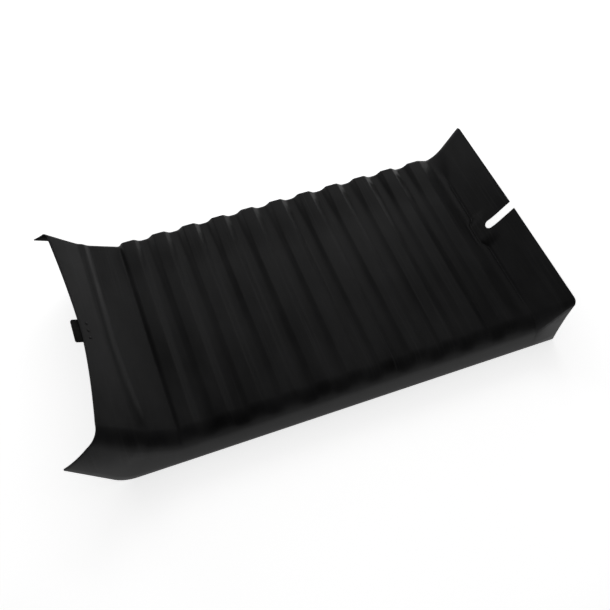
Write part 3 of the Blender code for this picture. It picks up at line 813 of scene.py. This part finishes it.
tail_seat = plate_top - PLATE_THICKNESS - SEAT_GAP
for number in (-1, 0, 1):
    rivet_form = bmesh.new()
    dome = [math.pi / 2 * step / HEAD_LINES for step in range(HEAD_LINES + 1)]
    outline = [
        (HEAD_RADIUS * math.sin(turn), SEAT_GAP + HEAD_RIM + (HEAD_HEIGHT - HEAD_RIM) * math.cos(turn))
        for turn in dome
    ]
    outline += [
        (HEAD_RADIUS - HEAD_RIM, SEAT_GAP),
        (RIVET_RADIUS, SEAT_GAP),
        (RIVET_RADIUS, tail_seat),
        (TAIL_RADIUS - HEAD_RIM, tail_seat),
        (TAIL_RADIUS, tail_seat - TAIL_RIM),
    ]
    outline += [(TAIL_RADIUS * radius, tail_seat - TAIL_HEIGHT * depth) for radius, depth in TAIL_CURL]
    points = [rivet_form.verts.new((radius, 0.0, height)) for radius, height in outline]
    lines = [rivet_form.edges.new(pair) for pair in zip(points, points[1:])]
    bmesh.ops.spin(
        rivet_form, geom=points + lines, cent=(0.0, 0.0, 0.0), axis=(0.0, 0.0, 1.0), angle=2 * math.pi,
        steps=SPIN_STEPS, use_merge=True,
    )
    bmesh.ops.remove_doubles(rivet_form, verts=rivet_form.verts, dist=1e-6)
    bmesh.ops.recalc_face_normals(rivet_form, faces=rivet_form.faces)
    place = (RIVET_PLACE, number * RIVET_SPACING, 0.0)
    bmesh.ops.translate(rivet_form, verts=rivet_form.verts, vec=place)
    on_ramp(rivet_form)
    rivet = add_piece(f"clinched_rivet_{number + 2}", rivet_form)
    shade(rivet, 50, 60)
    rivet.data.materials.append(rivet_finish.made)
    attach(rivet, "root")
    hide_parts(f"tab_rivet_{2 - number}")


# ---------------------------------------------------------------- floor, light and camera
# A pale studio floor with a glow of its own, a sky that is brighter on the far side, three soft lights
# beyond the far skirt, and the camera over the near rear corner.

FLOOR_SIZE = 20.0
FLOOR_DROP = 0.0005
GLOW_CENTRE = (0.6, 1.3)
GLOW_NEAR, GLOW_AWAY = 0.74, 0.55  # strength at its centre and beyond its fade
GLOW_FADE = (3.0, 5.6)  # distances from the glow's centre
SKY_DARK, SKY_BRIGHT = 0.07, 0.42
SKY_NEAR_SIDE, SKY_FAR_SIDE = -0.7, 0.8
BACKDROP = 0.78
AIM = (0.0513, -0.0965)
CAMERA_TURN = math.radians(20.38)
CAMERA_TIP = math.radians(55.3)
CAMERA_DISTANCE = 4.2064
SENSOR_WIDTH = 36.0
LENS = 50.7541

floor_form = bmesh.new()
bmesh.ops.create_grid(floor_form, x_segments=1, y_segments=1, size=FLOOR_SIZE)
bmesh.ops.translate(floor_form, verts=floor_form.verts, vec=(0.0, 0.0, panel_low.z - FLOOR_DROP))
floor_mesh = bpy.data.meshes.new("studio_floor")
floor_form.to_mesh(floor_mesh)
floor_form.free()
studio_floor = bpy.data.objects.new("studio_floor", floor_mesh)
bpy.context.collection.objects.link(studio_floor)
floor_paint_and_glow = Finish("studio_floor_paint_and_glow", (0.9, 0.9, 0.9), 0.9)
# the floor's emission is painted light: a pool that is brightest round GLOW_CENTRE and fades outwards, and it
# also lights the sheet; the floor's own paint is the pale base colour
floor_paint_and_glow.shader.inputs["Emission Color"].default_value = (1.0, 1.0, 1.0, 1.0)
spot = floor_paint_and_glow.node("ShaderNodeMapping", Vector=floor_paint_and_glow.place)
spot.inputs["Location"].default_value = (-GLOW_CENTRE[0], -GLOW_CENTRE[1], 0.0)
away = floor_paint_and_glow.node("ShaderNodeVectorMath", {"operation": "LENGTH"}, Vector=spot.outputs["Vector"])
floor_paint_and_glow.link(
    floor_paint_and_glow.spread(away.outputs["Value"], GLOW_NEAR, GLOW_AWAY, *GLOW_FADE),
    floor_paint_and_glow.shader.inputs["Emission Strength"],
)
floor_mesh.materials.append(floor_paint_and_glow.made)

world = bpy.data.worlds.new("studio")
bpy.context.scene.world = world
world.use_nodes = True
sky = world.node_tree
toward = sky.nodes.new("ShaderNodeTexCoord")
turned = sky.nodes.new("ShaderNodeSeparateXYZ")
sky_light = sky.nodes.new("ShaderNodeMapRange")
sky.links.new(toward.outputs["Generated"], turned.inputs["Vector"])
sky.links.new(turned.outputs["Y"], sky_light.inputs["Value"])
sky_light.inputs["From Min"].default_value = SKY_NEAR_SIDE
sky_light.inputs["From Max"].default_value = SKY_FAR_SIDE
sky_light.inputs["To Min"].default_value = SKY_DARK
sky_light.inputs["To Max"].default_value = SKY_BRIGHT
backdrop = sky.nodes.new("ShaderNodeMix")  # seen directly, the surround is as pale as the floor
sky.links.new(sky.nodes.new("ShaderNodeLightPath").outputs["Is Camera Ray"], backdrop.inputs["Factor"])
sky.links.new(sky_light.outputs["Result"], backdrop.inputs["A"])
backdrop.inputs["B"].default_value = BACKDROP
sky.links.new(backdrop.outputs["Result"], sky.nodes["Background"].inputs["Strength"])
sky.nodes["Background"].inputs["Color"].default_value = (1.0, 1.0, 1.0, 1.0)

aim = Vector((*AIM, floor_z))


def soft_light(name, place, size, power):
    """A softbox that points at the middle of the sheet."""
    lamp = bpy.data.lights.new(name, "AREA")
    lamp.shape = "RECTANGLE"
    lamp.size, lamp.size_y = size
    lamp.energy = power
    holder = bpy.data.objects.new(name, lamp)
    bpy.context.collection.objects.link(holder)
    holder.location = place
    holder.rotation_euler = (aim - Vector(place)).to_track_quat("-Z", "Y").to_euler()


soft_light("far_softbox", place=(0.8, 2.7, 2.8), size=(3.6, 1.5), power=26.0)
soft_light("front_softbox", place=(2.9, 3.1, 0.60), size=(2.4, 0.9), power=18.0)
soft_light("rear_softbox", place=(-2.2, 3.3, 1.0), size=(1.6, 1.2), power=10.0)

level = math.cos(CAMERA_TIP)
forward = Vector((math.sin(CAMERA_TURN) * level, math.cos(CAMERA_TURN) * level, -math.sin(CAMERA_TIP)))
camera = bpy.data.objects.new("camera", bpy.data.cameras.new("camera"))
bpy.context.collection.objects.link(camera)
camera.data.sensor_width = SENSOR_WIDTH
camera.data.lens = LENS
camera.location = aim - forward * CAMERA_DISTANCE
camera.rotation_euler = forward.to_track_quat("-Z", "Y").to_euler()
camera.data.clip_end = 100.0
bpy.context.scene.camera = camera
bpy.context.scene.view_settings.view_transform = "Standard"
